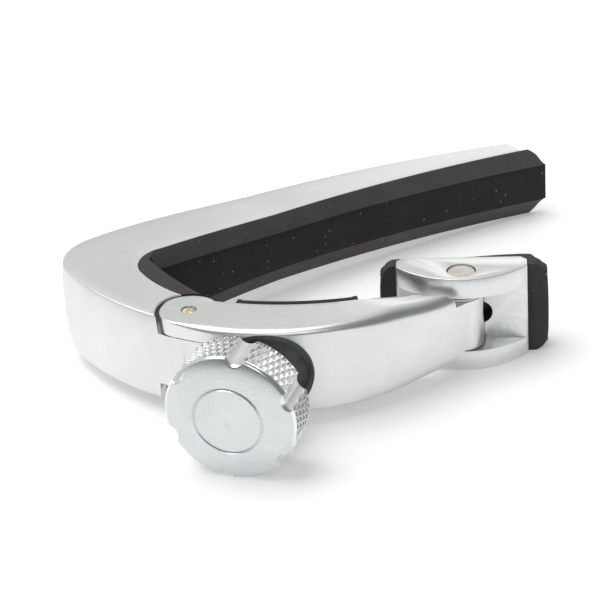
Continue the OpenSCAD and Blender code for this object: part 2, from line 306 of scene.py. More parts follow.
def slot_pts(r, n):
    """An outline with two round ends, in the opening's frame."""
    pts = [polar((POCKET_SLOT, 0), r, a) for a in spread(-90, 90, n // 2)]
    return pts + [polar((0, 0), r, a) for a in spread(90, 270, n // 2)]


def plug_frame(x):
    """A plug's place in the foot's web."""
    return FOOT_M @ (Matrix.Translation((x * MM, 0, 0)) @ FROM_Y)


# ---------------------------------------------------------------- materials
class Nodes:
    """A short way to write a node tree."""

    def __init__(self, name):
        self.mat = bpy.data.materials.new(name)
        self.mat.use_nodes = True
        self.tree = self.mat.node_tree
        self.bsdf = self.tree.nodes["Principled BSDF"]

    def add(self, kind, **settings):
        n = self.tree.nodes.new(kind)
        for key, value in settings.items():
            setattr(n, key, value)
        return n

    def link(self, a, b):
        self.tree.links.new(a, b)

    def coords(self, scale=(1, 1, 1)):
        t = self.add("ShaderNodeTexCoord")
        m = self.add("ShaderNodeMapping")
        m.inputs["Scale"].default_value = scale
        self.link(t.outputs["Object"], m.inputs["Vector"])
        return m.outputs["Vector"]

    def noise(self, scale, detail=3.0, rough=0.55, stretch=(1, 1, 1)):
        n = self.add("ShaderNodeTexNoise")
        n.inputs["Scale"].default_value = scale
        n.inputs["Detail"].default_value = detail
        n.inputs["Roughness"].default_value = rough
        self.link(self.coords(stretch), n.inputs["Vector"])
        return n.outputs["Fac"]

    def ramp(self, value, stops):
        """Two colours and their places on the value."""
        r = self.add("ShaderNodeValToRGB")
        for stop, (pos, col) in zip(r.color_ramp.elements, stops):
            stop.position = pos
            stop.color = (*col, 1)
        self.link(value, r.inputs["Fac"])
        return r.outputs["Color"]

    def range(self, value, lo, hi, a=0.0, b=1.0):
        """The value's stretch from a to b, spread from lo to hi."""
        r = self.add("ShaderNodeMapRange")
        r.inputs["From Min"].default_value = a
        r.inputs["From Max"].default_value = b
        r.inputs["To Min"].default_value = lo
        r.inputs["To Max"].default_value = hi
        self.link(value, r.inputs["Value"])
        return r.outputs["Result"]

    def mix(self, fac, base, col):
        """From a colour socket to a plain colour."""
        m = self.add("ShaderNodeMix", data_type="RGBA")
        a, b = [s for s in m.inputs if s.type == "RGBA"]
        self.link(fac, m.inputs[0])
        self.link(base, a)
        b.default_value = (*col, 1)
        return [s for s in m.outputs if s.type == "RGBA"][0]

    def product(self, value, factor):
        """A value times another, or times a number."""
        m = self.add("ShaderNodeMath", operation="MULTIPLY")
        self.link(value, m.inputs[0])
        if isinstance(factor, float):
            m.inputs[1].default_value = factor
        else:
            self.link(factor, m.inputs[1])
        return m.outputs[0]

    def bump(self, height, strength, distance):
        b = self.add("ShaderNodeBump")
        b.inputs["Strength"].default_value = strength
        b.inputs["Distance"].default_value = distance * MM
        self.link(height, b.inputs["Height"])
        return b.outputs["Normal"]


def aluminium(name, lo, hi, rough, grain, brush, brush_rough):
    """Satin aluminium: fine blasted grain over faint drawn streaks."""
    m = Nodes(name)
    cloud = m.noise(90, 4, 0.6)
    streak = m.noise(900, 3, 0.6, brush)
    fine = m.noise(9000, 2, 0.5)
    col = m.ramp(cloud, [(0.35, lo), (0.65, hi)])
    col2 = m.mix(m.range(streak, 0.0, 0.35), col, tuple(c * 0.86 for c in lo))
    m.link(col2, m.bsdf.inputs["Base Color"])
    m.bsdf.inputs["Metallic"].default_value = 1.0
    r = m.range(streak, rough - brush_rough, rough + brush_rough, 0.25, 0.75)
    m.link(r, m.bsdf.inputs["Roughness"])
    m.link(m.bump(fine, 0.5, grain), m.bsdf.inputs["Normal"])
    return m.mat


def rubber(name, dark, light, speck, rough):
    """Moulded rubber with a soft grain, scuffs and pale dust."""
    m = Nodes(name)
    cloud = m.noise(180, 5, 0.6)
    grain = m.noise(3200, 3, 0.6)
    col = m.ramp(cloud, [(0.3, dark), (0.7, light)])
    dust = m.add("ShaderNodeTexVoronoi")
    dust.inputs["Scale"].default_value = 1300
    dust.inputs["Randomness"].default_value = 1.0
    m.link(m.coords(), dust.inputs["Vector"])
    pick = m.add("ShaderNodeSeparateColor")
    m.link(dust.outputs["Color"], pick.inputs[0])
    near = m.range(dust.outputs["Distance"], 1.0, 0.0, 0.06, 0.2)
    some = m.range(pick.outputs[0], 0.0, 1.0, 0.90, 0.95)
    amount = m.product(m.product(near, some), speck)
    m.link(m.mix(amount, col, (0.55, 0.54, 0.52)), m.bsdf.inputs["Base Color"])
    m.link(m.range(grain, rough - 0.1, rough + 0.14, 0.3, 0.7), m.bsdf.inputs["Roughness"])
    m.bsdf.inputs["Specular IOR Level"].default_value = 0.35
    m.link(m.bump(grain, 0.35, 0.03), m.bsdf.inputs["Normal"])
    return m.mat


def metal(name, lo, hi, rough, scale=600):
    """Plain turned or ground metal, a little mottled."""
    m = Nodes(name)
    n = m.noise(scale, 4, 0.6)
    m.link(m.ramp(n, [(0.35, lo), (0.65, hi)]), m.bsdf.inputs["Base Color"])
    m.bsdf.inputs["Metallic"].default_value = 1.0
    m.link(m.range(n, rough - 0.06, rough + 0.1, 0.3, 0.7), m.bsdf.inputs["Roughness"])
    m.link(m.bump(m.noise(6000, 2), 0.3, 0.015), m.bsdf.inputs["Normal"])
    return m.mat


def plastic(name, lo, hi, rough=0.5, scale=400):
    """Moulded plastic with a fine grain."""
    m = Nodes(name)
    m.link(m.ramp(m.noise(scale, 4), [(0.35, lo), (0.65, hi)]), m.bsdf.inputs["Base Color"])
    m.link(m.range(m.noise(2500, 3), rough - 0.1, rough + 0.1, 0.3, 0.7), m.bsdf.inputs["Roughness"])
    m.link(m.bump(m.noise(2500, 3), 0.4, 0.04), m.bsdf.inputs["Normal"])
    return m.mat


def milled(name):
    """Satin aluminium with the curved marks of an end mill."""
    m = Nodes(name)
    v = m.coords()
    w = m.add("ShaderNodeTexWave", wave_type="RINGS", rings_direction="SPHERICAL")
    w.inputs["Scale"].default_value = 260
    w.inputs["Distortion"].default_value = 1.2
    w.inputs["Detail"].default_value = 2.0
    off = m.add("ShaderNodeMapping")
    off.inputs["Location"].default_value = (-44 * MM, 36 * MM, -4 * MM)
    m.link(v, off.inputs["Vector"])
    m.link(off.outputs["Vector"], w.inputs["Vector"])
    cloud = m.noise(220, 4, 0.6)
    colour = m.ramp(cloud, [(0.35, (0.74, 0.755, 0.755)), (0.65, (0.86, 0.87, 0.87))])
    m.link(colour, m.bsdf.inputs["Base Color"])
    m.bsdf.inputs["Metallic"].default_value = 1.0
    m.link(m.range(cloud, 0.3, 0.46, 0.3, 0.7), m.bsdf.inputs["Roughness"])
    m.link(m.bump(w.outputs["Fac"], 0.3, 0.05), m.bsdf.inputs["Normal"])
    return m.mat


ALU = aluminium("satin_aluminium", (0.77, 0.78, 0.775), (0.83, 0.84, 0.835), 0.40, 0.02, (1, 6, 1), 0.05)
ALU_LEVER = aluminium("lever_aluminium", (0.76, 0.775, 0.77), (0.83, 0.84, 0.835), 0.33, 0.018, (1, 5, 1), 0.05)
ALU_KNOB = aluminium("knob_aluminium", (0.66, 0.68, 0.69), (0.73, 0.75, 0.76), 0.29, 0.008, (1, 1, 5), 0.06)
ALU_BRIGHT = metal("bright_aluminium", (0.83, 0.84, 0.84), (0.9, 0.9, 0.9), 0.2, 300)
ALU_MILLED = milled("milled_aluminium")
RUBBER = rubber("charcoal_rubber", (0.010, 0.009, 0.008), (0.017, 0.0155, 0.014), 0.6, 0.66)
# painted light: two lighter copies of the pad's rubber, for its flat faces and its bevels, standing in for the light
# they catch
RUBBER_FLATS_PAINTED_LIGHT = rubber("matt_rubber_painted_light_on_flats", (0.046, 0.042, 0.038), (0.062, 0.057, 0.052), 0.4, 0.8)
RUBBER_SLOPES_PAINTED_LIGHT = rubber("rubber_painted_light_on_slopes", (0.074, 0.068, 0.062), (0.102, 0.094, 0.086), 0.4, 0.8)
RUBBER_FOOT = rubber("foot_rubber", (0.036, 0.033, 0.031), (0.054, 0.050, 0.047), 0.3, 0.75)
FLASH = rubber("torn_rubber_edge", (0.10, 0.085, 0.07), (0.24, 0.21, 0.18), 0.3, 0.8)
# the cup's dark plastic; also used as painted shade on the lever's aluminium floor inside the opening
WORN_PLASTIC_AND_SHADE = plastic("worn_black_plastic_and_painted_shade", (0.004, 0.004, 0.004), (0.13, 0.13, 0.128), 0.5, 170)
BLACK = plastic("black_plastic", (0.006, 0.006, 0.006), (0.03, 0.03, 0.03), 0.55)
WHITE = plastic("white_plastic", (0.72, 0.72, 0.70), (0.8, 0.8, 0.78), 0.45)
BUSH = plastic("bush_plastic", (0.06, 0.06, 0.06), (0.1, 0.1, 0.1), 0.5)
PIN = metal("foot_pin_metal", (0.60, 0.555, 0.53), (0.70, 0.66, 0.63), 0.42, 900)
STEEL = metal("steel", (0.42, 0.42, 0.43), (0.58, 0.58, 0.59), 0.35)
GOLD = metal("hinge_pin_metal", (0.42, 0.38, 0.30), (0.86, 0.77, 0.56), 0.35, 2600)
BRASS = metal("brass", (0.62, 0.47, 0.2), (0.78, 0.62, 0.32), 0.3)


# ---------------------------------------------------------------- body
def edge_profile(z0, z1, r):
    """Heights and insets of a rounded lower edge, and of the upper one."""
    low = [(z0 + r * (1 - math.cos(a)), r * (1 - math.sin(a))) for a in spread(0, math.pi / 2, 4)]
    high = [(z1 - (z - z0), d) for z, d in reversed(low)]
    return low, high


def station(o, i, z0, z1, r_out, r_in, crown):
    """A cross-section from the outer point o to the inner point i; crown domes the outer face."""
    u = unit((i[0] - o[0], i[1] - o[1]))
    width = math.hypot(i[0] - o[0], i[1] - o[1])
    r_out = min(r_out, width * 0.45)
    r_in = min(r_in, width * 0.45)
    h = (z1 - z0) / 2
    m = (z1 + z0) / 2

    def out_pt(z, inset):
        k = abs((z - m) / h)
        return (*add(o, u, inset + crown * k ** 3), z)

    def in_pt(z, inset):
        return (*add(i, u, -inset), z)

    ring = []
    low, high = edge_profile(z0, z1, r_out)
    ring += [out_pt(z, d) for z, d in low]
    ring += [out_pt(z, 0) for z in spread(z0 + r_out, z1 - r_out, 9)[1:-1]]
    ring += [out_pt(z, d) for z, d in high]
    a, b = r_out + crown, width - r_in
    ring += [(*add(o, u, d), z1) for d in spread(a, b, 5)[1:-1]]
    low, high = edge_profile(z0, z1, r_in)
    ring += [in_pt(z, d) for z, d in reversed(high)]
    ring += [in_pt(z, 0) for z in spread(z1 - r_in, z0 + r_in, 5)[1:-1]]
    ring += [in_pt(z, d) for z, d in reversed(low)]
    ring += [(*add(o, u, d), z0) for d in spread(b, a, 5)[1:-1]]
    return ring


def resample(pts, n):
    """n points evenly along a path, its first point left out."""
    d = [0.0]
    for p, q in zip(pts, pts[1:]):
        d.append(d[-1] + math.dist(p, q))
    res = []
    for k in range(1, n + 1):
        t = d[-1] * k / n
        j = max(i for i in range(len(d) - 1) if d[i] <= t + 1e-9)
        f = (t - d[j]) / (d[j + 1] - d[j])
        res.append((lerp(pts[j][0], pts[j + 1][0], f), lerp(pts[j][1], pts[j + 1][1], f)))
    return res


def body_path():
    """Pairs of outer and inner plan points from the arm's tip round to the leg's end."""
    def arm(x):
        return (x, arc_y(BACK_C, BACK_R, x, 1)), (x, arc_y(INNER_C, INNER_R, x, 1))

    pairs = [arm(x) for x in spread(ARM_LEN, JOIN_X, 46)]
    bend_from, bend_to = 95.0, 186
    outer = [arm(x)[0] for x in spread(JOIN_X, polar((0, 0), BEND_R, bend_from)[0], 12)]
    outer += [polar((0, 0), BEND_R, a) for a in spread(bend_from, bend_to, 26)[1:]]
    inner = [arm(x)[1] for x in spread(JOIN_X, THROAT_C[0], 5)]
    inner += [polar(THROAT_C, THROAT_R, a) for a in spread(90, 180, 32)[1:]]
    n = max(len(outer), len(inner)) - 1
    pairs += list(zip(resample(outer, n), resample(inner, n)))
    o_last, i_last = pairs[-1]
    leg_end = HINGE[1] - 3.0
    for t in spread(0, 1, 24)[1:]:
        yo = lerp(o_last[1], leg_end, t)
        yi = lerp(i_last[1], leg_end, t)
        pairs.append(((arc_x(LEG_OUT_C, LEG_OUT_R, yo, -1), yo),
                      (arc_x(LEG_IN_C, LEG_IN_R, yi, -1), yi)))
    return pairs


def ray_circle(p, deg, c, r):
    """Distance from p to the far side of a circle."""
    d = (math.cos(math.radians(deg)), math.sin(math.radians(deg)))
    w = (p[0] - c[0], p[1] - c[1])
    b = w[0] * d[0] + w[1] * d[1]
    q = b * b - (w[0] ** 2 + w[1] ** 2 - r * r)
    return -b + math.sqrt(q) if q > 0 else 0.0


def ray_box(deg, x0, x1, y0, y1):
    """Distance from the hinge to a box drawn in the hinge's frame."""
    a = math.radians(deg) - TURN
    c, s = math.cos(a), math.sin(a)
    t = 1e9
    if abs(c) > 1e-9:
        t = min(t, (x1 if c > 0 else x0) / c)
    if abs(s) > 1e-9:
        t = min(t, (y1 if s > 0 else y0) / s)
    return t


def tongue_outline():
    """Round the hinge; flush with the lever and the leg outside; up to the closed lever's wall inside."""
    closed = math.radians(LEVER_MAX)
    c, s = math.cos(closed), math.sin(closed)
    w = (OUT_C[0] - HINGE[0], OUT_C[1] - HINGE[1])
    swung = (HINGE[0] + c * w[0] - s * w[1], HINGE[1] + s * w[0] + c * w[1])
    pts = []
    for k in range(720):
        a = -180 + k * 0.5
        r = TONGUE_END_R
        if -178 <= a <= -87:
            r = min(ray_circle(HINGE, a, OUT_C, OUT_R), ray_circle(HINGE, a, LEG_OUT_C, LEG_OUT_R) + 0.08)
        elif a <= -30:
            wall = ray_circle(HINGE, a, swung, OUT_R - WEB_T - 0.2)
            r = max(r, min(wall, ray_box(a, -1, 15, -8, 2.6)))
        pts.append(polar(HINGE, r, a))
    return pts


def ear_room_outline(gap):
    """Round the hinge on the leg's side, then open toward the lever."""
    r = EAR_R + gap
    pts = [add(HINGE, (math.cos(a), math.sin(a)), r)
           for a in spread(TURN + math.pi / 2, TURN + 3 * math.pi / 2, 60)]
    return pts + [from_hinge(0.0, -12), from_hinge(30, -12), from_hinge(30, r)]


def make_body():
    rings = []
    for k, (o, i) in enumerate(body_path()):
        z1 = side_z((o[0] + i[0]) / 2)
        leg = smooth((k - 46) / 40)
        crown = lerp(0.10, 0.50, leg)
        u = unit((i[0] - o[0], i[1] - o[1]))
        rings.append(station(add(o, u, -0.3 * crown), i, BODY_W - z1, z1, 0.22, 0.12, crown))
    o = loft("body_j", rings)
    step = EAR_T + SEAM
    low = [(-1.0, 0.18), (-0.02, 0.18), (0.16, 0), (step, 0)]
    cut(o, ear_room_outline(EAR_ROOM_LOW), low)
    cut(o, ear_room_outline(EAR_ROOM_TOP), upside_down(low))
    boolean(o, prism("tongue", tongue_outline(), straight(step, BODY_W - step)), "UNION")
    cut(o, circle_pts((0, 0), INSERT_R, 72, 1.0), straight(-6, 12), KNOB_M)
    weld(o)
    finish_piece(o, ALU, "body", ["body_frame"], 32)


# ---------------------------------------------------------------- string pad
def pad_path():
    """(base point, face point, share of the full bevel) from the leg up to the tip."""
    rows = []
    for y in spread(-17.3, THROAT_C[1], 22)[:-1]:
        rows.append(((arc_x(LEG_IN_C, LEG_IN_R, y, -1), y), (arc_x(PAD_LEG_C, PAD_LEG_R, y, -1), y), 0.0))
    corner = (THROAT_C[0] - THROAT_R + THROAT_T + PAD_CORNER_R, THROAT_C[1] + THROAT_R - PAD_T - PAD_CORNER_R)
    start = (arc_x(PAD_LEG_C, PAD_LEG_R, THROAT_C[1], -1), THROAT_C[1])
    rise = 0.3                                   # share of the throat before the face's corner
    for t in spread(0, 1, 30):
        base = polar(THROAT_C, THROAT_R, 180 - 90 * t)
        if t < rise:
            f = t / rise
            face = (lerp(start[0], corner[0] - PAD_CORNER_R, f), lerp(start[1], corner[1], f))
        else:
            face = polar(corner, PAD_CORNER_R, 180 - 90 * (t - rise) / (1 - rise))
        rows.append((base, face, smooth((t - 0.72) / 0.28)))
    for x in spread(THROAT_C[0], PAD_TIP, 64)[1:]:
        xf = max(x, corner[0])
        rows.append(((x, arc_y(INNER_C, INNER_R, x, 1)), (xf, arc_y(INNER_C, INNER_R - PAD_T, xf, 1)), 1.0))
    return rows


def pad_ring(base, face, bev, squeeze=0.0, x_side=None):
    """A section of the pad: its base on the metal, its face, and a bevel between them on both sides."""
    z1 = side_z(base[0] if x_side is None else x_side)
    z0 = BODY_W - z1
    zf0, zf1 = max(z0 + bev * PAD_BEVEL, z0 + 0.001), min(z1 - bev * PAD_BEVEL, z1 - 0.001)
    zb0, zb1 = z0 + squeeze, z1 - squeeze
    zf0, zf1 = max(zf0, zb0), min(zf1, zb1)
    flat = lerp(0.97, 0.10, smooth(bev * 1.6))
    t0 = (lerp(base[0], face[0], flat), lerp(base[1], face[1], flat))

    def slope(zb, zf, shares):
        return [(lerp(t0[0], face[0], f), lerp(t0[1], face[1], f), lerp(zb, zf, f)) for f in shares]

    pts = [(*base, z) for z in spread(zb0, zb1, 4)] + [(*t0, zb1)]
    pts += slope(zb1, zf1, (0.25, 0.5, 0.75))
    pts += [(*face, z) for z in spread(zf1, zf0, 6)]
    pts += slope(zb0, zf0, (0.75, 0.5, 0.25))
    return pts + [(*t0, zb0)]


def make_string_pad():
    rings = [pad_ring(base, face, bev) for base, face, bev in pad_path()]
    for t in spread(0, 1, 7)[1:]:
        x = PAD_TIP + 2.2 * math.sin(t * math.pi / 2 * 0.96)
        squeeze = 2.45 * (1 - math.cos(t * math.pi / 2)) * 0.25 + 2.1 * t * 0.92
        base = (x - 0.35 * t, arc_y(INNER_C, INNER_R, x, 1) - 0.25 * t * t)
        face = (x + 0.02, arc_y(INNER_C, INNER_R - PAD_T, x, 1) + 0.18 * t * t)
        rings.append(pad_ring(base, face, 1.0, squeeze, PAD_TIP))
    o = loft("string_pad_rubber", rings)
    cut(o, circle_pts(HINGE, EAR_R + 0.42, 90), straight(-1, BODY_W + 1))
    weld(o)
    bevel(o, 0.14, 28)
    finish_piece(o, RUBBER, "body", ["string_pad"], 40)
    # painted light: the pad's flat faces, then its bevels, get the lighter rubber copies in place of the light they
    # catch
    paint(o, RUBBER_FLATS_PAINTED_LIGHT, Matrix(), lambda c, n: abs(n.z) > 0.8)
    paint(o, RUBBER_SLOPES_PAINTED_LIGHT, Matrix(), lambda c, n: 0.12 < abs(n.z) <= 0.8)


# ---------------------------------------------------------------- lever
def lever_pairs():
    """Outer and inner plan points from the ear round to the foot pin."""
    top = meet(HINGE, EAR_R, IN_C, IN_R, lambda p: p[0] - p[1])
    a_in = angle_of(HINGE, top)
    a_out = KNOB_DIR - 180.0
    mid_a = (a_in + a_out) / 2 + 180
    span_o = (360 + a_out - mid_a) % 360
    if span_o >= 180:
        span_o -= 360
    span_i = (mid_a - a_in) % 360
    pairs = []
    for t in spread(0.04, 1.0, 20):
        f = 1 - math.cos(t * math.pi / 2)
        pairs.append((polar(HINGE, EAR_R, mid_a + span_o * f), polar(HINGE, EAR_R, mid_a - span_i * f)))
    o0 = angle_of(OUT_C, pairs[-1][0])
    if o0 > 0:
        o0 -= 360
    i0 = angle_of(IN_C, top)
    if i0 > 0:
        i0 -= 360
    end_out = meet(FOOT, TONGUE_R, END_C, END_R, lambda p: -p[0])
    end_in = meet(FOOT, TONGUE_R, IN_C, IN_R, lambda p: -p[0])
    lowest = -90.0
    outs = [polar(OUT_C, OUT_R, a) for a in spread(o0, lowest, 30)[1:]]
    outs += [polar(END_C, END_R, a) for a in spread(lowest, angle_of(END_C, end_out), 24)[1:]]
    ins = [polar(IN_C, IN_R, a) for a in spread(i0, angle_of(IN_C, end_in), len(outs) + 1)[1:]]
    pairs += list(zip(outs, ins))
    ai = angle_of(FOOT, end_in) % 360
    ao = angle_of(FOOT, end_out)
    close = (ai + ao) / 2
    for t in spread(0, 1, 26)[1:]:
        pairs.append((polar(FOOT, TONGUE_R, lerp(ao, close - 1.5, t)),
                      polar(FOOT, TONGUE_R, lerp(ai, close + 1.5, t))))
    return pairs


def lever_ring(o, i, w, d, low):
    """A lever section: faces low in from the full width, a rounded outer bevel w in by d down."""
    z0, z1 = low, BODY_W - low
    u = unit((i[0] - o[0], i[1] - o[1]))
    width = math.dist(o, i)
    w = min(w, width * 0.42)
    r = min(0.14, width * 0.1)

    def at(x, z):
        return (*add(o, u, x), z)

    soft = [(w * (1 - math.cos(a)), d * (1 - math.sin(a))) for a in spread(0, math.pi / 2, 7)]
    ring = [at(x, z0 + y) for x, y in reversed(soft)]
    ring += [(*o, z) for z in spread(z0 + d, z1 - d, 7)[1:-1]]
    ring += [at(x, z1 - y) for x, y in soft]
    ring += [at(x, z1) for x in spread(w, width - r, 5)[1:-1]]
    ring += [at(width - r, z1), at(width - r * 0.3, z1 - r * 0.3), at(width, z1 - r)]
    ring += [(*i, z) for z in spread(z1 - r, z0 + r, 5)[1:-1]]
    ring += [at(width, z0 + r), at(width - r * 0.3, z0 + r * 0.3), at(width - r, z0)]
    return ring + [at(x, z0) for x in spread(width - r, w, 5)[1:-1]]


def cut_channel(o):
    """Open the lever between its ears, for the body's tongue."""
    along = (math.cos(TURN), math.sin(TURN))
    across = (-along[1], along[0])
    room = circle_pts(OUT_C, OUT_R - WEB_T, 240)
    room = clip_half(room, from_hinge(-10, 0), along)
    room = clip_half(room, from_hinge(19, 0), (-along[0], -along[1]))
    room = clip_half(room, from_hinge(0, -20), across)
    room = clip_half(room, from_hinge(0, 10), (-across[0], -across[1]))
    walls = straight(EAR_T, BODY_W - EAR_T)
    cut(o, room, walls)
    cut(o, [HINGE] + [polar(HINGE, 30, a) for a in spread(-230, -81, 40)], walls)
    cut(o, circle_pts(HINGE, TONGUE_END_R + 0.4, 90, 1.0), walls)


def cut_foot_room(o):
    """Thin the lever's end to its tongue, with room for the foot's plates to swing."""
    lean = math.radians(-19)
    facing = (-math.sin(lean), math.cos(lean))
    swing = clip_half(circle_pts(FOOT, 7.1, 200), add(FOOT, facing, -4.2), facing)
    shoulder = unit((0.651, 0.758))
    swing = clip_half(swing, add(FOOT, shoulder, -4.4), shoulder)
    turn = math.radians(-35)
    c, s = math.cos(turn), math.sin(turn)
    slab = [(FOOT[0] + c * x - s * y, FOOT[1] + s * x + c * y)
            for x, y in ((-12, -0.9), (8, -0.9), (8, 8.1), (-12, 8.1))]
    dense = []
    for a, b in zip(slab, slab[1:] + slab[:1]):
        dense += [(lerp(a[0], b[0], t), lerp(a[1], b[1], t)) for t in spread(0, 1, 12)[:-1]]
    edge = LEVER_LOW - 0.03
    for outline, over, deep in ((swing, 0.75, 1.5), (dense, 0.12, 0.12)):
        roll = [(edge + deep * (1 - math.cos(a)), over * (1 - math.sin(a))) for a in spread(0, math.pi / 2, 7)]
        low = [(-1, over)] + roll + [(MID - TONGUE_T / 2, 0)]
        cut(o, outline, low)
        cut(o, outline, upside_down(low))


def make_lever():
    rings = []
    for o, i in lever_pairs():
        t = smooth((o[0] - 14) / 14)
        e = smooth((o[0] + 3.6) / 5.5)
        low = LEVER_LOW * smooth(((o[0] + i[0]) / 2 - 23) / 9)
        rings.append(lever_ring(o, i, lerp(0.12, lerp(1.15, 2.3, t), e), lerp(0.12, lerp(0.85, 1.9, t), e), low))
    o = loft("lever_arm", rings)
    cut_channel(o)
    cut_foot_room(o)
    cut(o, circle_pts(FOOT, PIN_D / 2 + 0.41, 72), straight(-1, BODY_W + 1))
    cut(o, circle_pts((0, 0), 3.2, 64), straight(-12, 2), KNOB_M)
    cut(o, slot_pts(POCKET_R, 96), straight(-8, 0), POCKET_M)
    cut(o, circle_pts(HINGE, 1.02, 40), [(-1, 0), (BODY_W - 0.1, 0), (BODY_W + 0.02, 0.1), (BODY_W + 1, 0.1)])
    weld(o)
    finish_piece(o, ALU_LEVER, "lever", ["lever"], 30)
    # painted shade: the lever's own aluminium floor of the opening, seen through the cup, is painted as dark as the
    # cup
    far = POCKET_R + POCKET_SLOT
    paint(o, WORN_PLASTIC_AND_SHADE, POCKET_M, lambda c, n: abs(c.z) < 0.05 and abs(n.z) > 0.9 and c.xy.length < far)


def make_liner():
    """The rubber strip on the lever's hollow edge, with a lip at each end."""
    a0 = angle_of(IN_C, from_hinge(5.4, 6.5))
    a1 = angle_of(IN_C, from_hinge(22.5, 6.5))
    z0, z1 = 0.04, BODY_W - 0.04
    soft = 0.2                                   # the lips' height, and the edges' bevel
    n = 40
    rings = []
    for k, a in enumerate(spread(a0, a1, n)):
        t = 1.15 + (soft if min(k, n - 1 - k) < 2 else 0.0)
        outer = polar(IN_C, IN_R - 0.02, a)
        inner = polar(IN_C, IN_R - t, a)
        side = polar(IN_C, IN_R - t + soft, a)
        rings.append([(*outer, z0), (*outer, z1), (*side, z1), (*inner, z1 - soft), (*inner, z0 + soft), (*side, z0)])
    o = loft("lever_strip", rings)
    bevel(o, 0.07, 40)
    finish_piece(o, RUBBER, "lever", ["lever_liner"], 40)


def make_pocket():
    """The dark cup inside the lever's opening, with a hole the thrust washer clears."""
    prof = [(5.86, -1.25), (5.86, 0.02), (4.3, 0.02), (4.3, -0.1), (5.0, -0.12), (5.2, -0.5), (5.3, -1.2)]
    sides = [slot_pts(r, 120) for r, z in prof]
    rings = [[(*side[k], z) for side, (r, z) in zip(sides, prof)] for k in range(120)]
    o = loft("pocket_cup", rings, closed=True)
    o.data.transform(POCKET_M)
    finish_piece(o, WORN_PLASTIC_AND_SHADE, "lever", ["pocket_seat"], 35)


# ---------------------------------------------------------------- knob
def flute_limit(theta):
    """Radius at which a flute cuts the knob at an angle, or a huge one between flutes."""
    d = KNOB_R + FLUTE_R - FLUTE_D
    step = 2 * math.pi / FLUTES
    a = (theta - math.radians(FLUTE_PHASE) + step / 2) % step - step / 2
    q = FLUTE_R ** 2 - (d * math.sin(a)) ** 2
    return d * math.cos(a) - math.sqrt(q) if q > 0 else 1e9


def dome(r):
    """How far the knob's face falls back at a radius."""
    return 0.85 * (r / KNOB_R) ** 2.8 + 0.2 * (r / KNOB_R) ** 12


def knurl_r(theta, depth, rise):
    """Radius of the knurled side; the diamonds grow in over the first 0.3 mm of rise."""
    a = theta / (2 * math.pi / KNURLS)
    b = depth / KNURL_PITCH
    h = min(abs(((a + b * k) % 1.0) - 0.5) * 2 for k in (0.5, -0.5))
    r = KNOB_R - KNURL_D * (1 - min(h * 1.3, 1.0)) * min(1.0, rise / 0.3)
    return min(r, flute_limit(theta))


def plain_r(theta, inset):
    return min(KNOB_R - 0.03, flute_limit(theta)) - inset


def make_knob():
    """Fluted and knurled, with a domed face and one turned ring."""
    rim = 0.28
    z_face = -KNOB_OUT
    z_back = KNOB_L - KNOB_OUT
    z_rim = z_face + dome(KNOB_R) + rim
    seg = 64 * 11
    thetas = [2 * math.pi * k / seg for k in range(seg)]
    rings = []

    def ring(radius, height):
        turn = []
        for t in thetas:
            r = radius(t)
            turn.append((r * math.cos(t), r * math.sin(t), height(r)))
        rings.append(turn)

    def face_ring(radius, dz=0.0):
        ring(radius, lambda r: z_face + dz + dome(r))

    groove = [(4.55, 0.0), (4.62, 0.10), (4.74, 0.16), (4.86, 0.10), (4.93, 0.0)]
    for r_ring, dz in [(0.35, 0.10), (0.6, 0.02), (0.85, 0.0), (1.8, 0.0), (2.2, 0.0)] + groove + [(FACE_R, 0.0)]:
        face_ring(lambda t: r_ring, dz)
    for f in (0.2, 0.4, 0.6, 0.8, 0.93):
        face_ring(lambda t: lerp(FACE_R, plain_r(t, rim + 0.12), f))
    soft = ((rim * 0.55, rim * 0.5), (rim * 0.25, rim * 0.9))
    for inset, dz in ((rim + 0.12, 0.0), (rim - 0.02, 0.03)) + soft:
        face_ring(lambda t: plain_r(t, inset), dz)
    for z in spread(z_rim, z_back - rim, 78):
        ring(lambda t: knurl_r(t, z - z_face, z - z_rim), lambda r: z)
    for inset, dz in soft[::-1] + ((rim, 0.0),):
        ring(lambda t: plain_r(t, inset), lambda r: z_back - dz)
    for r_ring, dz in ((7.0, 0.0), (4.25, 0.0), (4.2, -0.05), (4.2, 1.0), (3.45, 1.0)):
        ring(lambda t: r_ring, lambda r: z_back + dz)
    o = loft("knob_fluted", rings)
    o.data.transform(KNOB_M)
    finish_piece(o, ALU_KNOB, "knob", ["knob"], 24)
    paint(o, ALU_BRIGHT, KNOB_M, lambda c, n: math.hypot(c.x, c.y) > FACE_R and abs(n.z) < 0.8)


# ---------------------------------------------------------------- foot
def foot_outline():
    """An arc in front, straight ends, and a flat back with bevelled corners."""
    c = (0.0, FOOT_FRONT_R - FOOT_FRONT)
    a_end = math.degrees(math.acos(FOOT_HALF / FOOT_FRONT_R))
    pts = [polar(c, FOOT_FRONT_R, a) for a in spread(180 + a_end, 360 - a_end, 80)]
    x, b = FOOT_HALF, FOOT_BEVEL
    pts += [(x, y) for y in spread(pts[-1][1], FOOT_BACK - b, 6)[1:]]
    pts += [(q, FOOT_BACK) for q in spread(x - b, b - x, 14)]
    return pts + [(-x, FOOT_BACK - b)]


